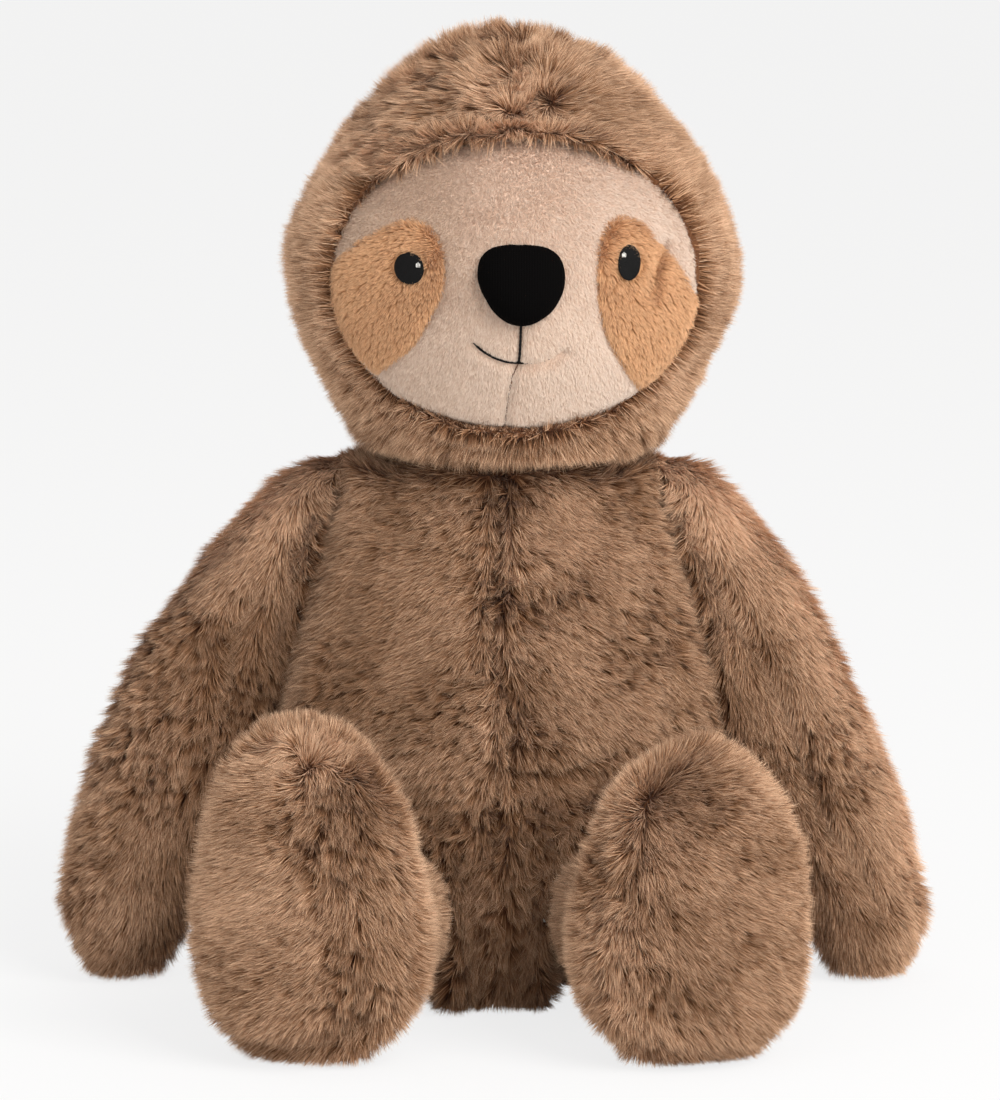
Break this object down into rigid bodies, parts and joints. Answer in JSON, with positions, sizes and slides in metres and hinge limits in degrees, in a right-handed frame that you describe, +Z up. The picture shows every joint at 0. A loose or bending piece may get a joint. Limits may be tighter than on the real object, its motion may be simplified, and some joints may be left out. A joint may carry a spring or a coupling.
{
  "type": "plush sloth",
  "caption": "Seated plush sloth with a fur hood, short-pile face and padded nose; its head turns, its arms swing and its splayed legs lift.",
  "frame": {"origin": "middle of the flat seat, where the toy rests on a surface", "axes": "+Z up, the toy faces -Y, so its own left side is at +X"},
  "size_m": [0.3202, 0.2003, 0.3504],
  "materials": {
    "brown_fur": "matte",
    "face_plush": "matte",
    "patch_plush": "matte",
    "black_knit": "matte",
    "black_thread": "satin",
    "white_thread": "satin",
    "seam_thread": "satin",
    "fibre_fill": "matte",
    "pouch_cloth": "matte"
  },
  "bodies": {
    "torso": {"torso_front_left": "brown_fur", "torso_front_right": "brown_fur", "torso_lower_left": "brown_fur", "torso_lower_right": "brown_fur", "torso_back_left": "brown_fur", "torso_back_right": "brown_fur", "seat_panel": "brown_fur", "torso_stuffing": "fibre_fill", "bean_pouch": "pouch_cloth", "neck_stitch": "seam_thread"},
    "head": {"hood_left": "brown_fur", "hood_right": "brown_fur", "face_panel": "face_plush", "eye_patch_left": "patch_plush", "eye_patch_right": "patch_plush", "eye_left": "black_thread", "eye_right": "black_thread", "eye_glint_left": "white_thread", "eye_glint_right": "white_thread", "nose_cover": "black_knit", "nose_padding": "fibre_fill", "philtrum_thread": "black_thread", "smile_thread": "black_thread", "head_stuffing": "fibre_fill"},
    "arm_left": {"arm_outer_left": "brown_fur", "arm_inner_left": "brown_fur", "arm_stuffing_left": "fibre_fill"},
    "leg_left": {"leg_cover_left": "brown_fur", "sole_panel_left": "brown_fur", "leg_stuffing_left": "fibre_fill"},
    "arm_right": {"arm_outer_right": "brown_fur", "arm_inner_right": "brown_fur", "arm_stuffing_right": "fibre_fill"},
    "leg_right": {"leg_cover_right": "brown_fur", "sole_panel_right": "brown_fur", "leg_stuffing_right": "fibre_fill"}
  },
  "joints": [
    {"name": "neck_turn", "type": "hinge", "parent": "torso", "child": "head", "pos_m": [0.0015, -0.002, 0.1958], "axis": [0, 0, 1], "range_deg": [-35, 35]},
    {"name": "shoulder_swing_left", "type": "hinge", "parent": "torso", "child": "arm_left", "pos_m": [0.061, 0, 0.169], "axis": [-0.9538, -0.134, -0.2689], "range_deg": [-35, 90]},
    {"name": "shoulder_swing_right", "type": "hinge", "parent": "torso", "child": "arm_right", "pos_m": [-0.061, 0, 0.169], "axis": [-0.9538, 0.134, 0.2689], "range_deg": [-35, 90]},
    {"name": "hip_swing_left", "type": "hinge", "parent": "torso", "child": "leg_left", "pos_m": [0.044, -0.034, 0.038], "axis": [0.9659, 0.2588, 0], "range_deg": [-15, 75]},
    {"name": "hip_swing_right", "type": "hinge", "parent": "torso", "child": "leg_right", "pos_m": [-0.044, -0.034, 0.038], "axis": [0.9659, -0.2588, 0], "range_deg": [-15, 75]}
  ]
}
